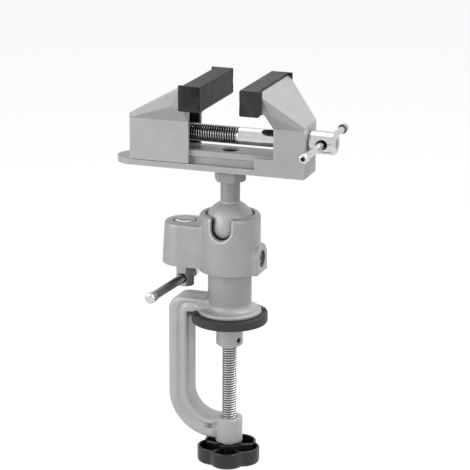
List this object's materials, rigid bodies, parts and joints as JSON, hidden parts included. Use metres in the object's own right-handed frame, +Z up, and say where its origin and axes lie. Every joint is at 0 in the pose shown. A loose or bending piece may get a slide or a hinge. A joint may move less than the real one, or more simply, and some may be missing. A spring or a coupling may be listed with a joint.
{
  "type": "clamp-on table vise",
  "caption": "Clamp-on table vise: padded jaws closed by a lead screw with a sliding bar, on a ball swivel with a lever lock, held to the table by a C-clamp with a lobed knob.",
  "frame": {"origin": "centre of the pad ring's underside, on the swivel post's axis, where the ring rests on the table top", "axes": "+X along the lead screw towards its head and sliding bar, +Z up along the post, -Y towards the front, where the socket's notch is"},
  "size_m": [0.1806, 0.122, 0.3174],
  "materials": {
    "cast": "satin",
    "stud": "matte",
    "pad": "matte",
    "ring": "matte",
    "knob": "gloss",
    "zinc": "satin",
    "dark_steel": "satin",
    "chrome": "polished",
    "bearing": "matte",
    "brass": "satin"
  },
  "bodies": {
    "frame": {"clamp_frame": "cast", "clamp_ring": "ring"},
    "foot": {"pressure_foot": "cast", "foot_set_screw": "dark_steel"},
    "clamp_handle": {"clamp_screw": "zinc", "clamp_knob": "knob"},
    "swivel_head": {"socket_housing": "cast", "swivel_bush": "bearing", "ball_seat": "bearing", "retaining_screw": "dark_steel", "lock_wedge": "zinc", "brake_pin": "bearing"},
    "lock": {"lock_bolt": "zinc"},
    "lock_lever": {"lock_bar": "zinc", "lock_bar_caps": "zinc"},
    "ball": {"ball_stud": "stud"},
    "vise": {"vise_base": "cast", "fixed_jaw_pad": "pad", "mounting_screw": "dark_steel", "thrust_washer": "dark_steel", "screw_keeper_pin": "dark_steel"},
    "slide_jaw": {"moving_jaw": "cast", "moving_jaw_pad": "pad", "jaw_nut": "brass"},
    "spindle": {"lead_screw": "chrome"},
    "tommy": {"tommy_bar": "chrome", "tommy_bar_caps": "chrome"}
  },
  "joints": [
    {"name": "head_pan", "type": "hinge", "parent": "frame", "child": "swivel_head", "pos_m": [0, 0, 0.0515], "axis": [0, 0, 1], "continuous": true},
    {"name": "lock_turn", "type": "hinge", "parent": "swivel_head", "child": "lock", "pos_m": [-0.038, 0, 0.046], "axis": [0, 0, 1], "range_deg": [-45, 40]},
    {"name": "lock_bar_slide", "type": "slide", "parent": "lock", "child": "lock_lever", "axis": [-0.0819, -0.9966, 0], "range_m": [-0.0514, 0.0056]},
    {"name": "ball_tilt", "type": "hinge", "parent": "swivel_head", "child": "ball", "pos_m": [0, 0, 0.0808], "axis": [1, 0, 0], "range_deg": [-35, 85]},
    {"name": "vise_spin", "type": "hinge", "parent": "ball", "child": "vise", "pos_m": [0, 0, 0.0808], "axis": [0, 0, 1], "continuous": true},
    {"name": "screw_turn", "type": "hinge", "parent": "vise", "child": "spindle", "pos_m": [0.0766, 0, 0.1527], "axis": [-1, 0, 0], "range_deg": [-3276, 5634]},
    {"name": "jaw_slide", "type": "slide", "parent": "vise", "child": "slide_jaw", "axis": [1, 0, 0], "range_m": [-0.0182, 0.0313]},
    {"name": "tommy_slide", "type": "slide", "parent": "spindle", "child": "tommy", "axis": [0, 1, 0], "range_m": [-0.039, 0.039]},
    {"name": "foot_slide", "type": "slide", "parent": "frame", "child": "foot", "axis": [0, 0, 1], "range_m": [-0.056, 0.0017]},
    {"name": "clamp_turn", "type": "hinge", "parent": "foot", "child": "clamp_handle", "pos_m": [0, 0, -0.11], "axis": [0, 0, 1], "range_deg": [-10080, 306]}
  ],
  "couplings": [
    {"joint": "jaw_slide", "follows": "screw_turn", "m_per_rad": 0.00031831},
    {"joint": "foot_slide", "follows": "clamp_turn", "m_per_rad": 0.00031831}
  ]
}
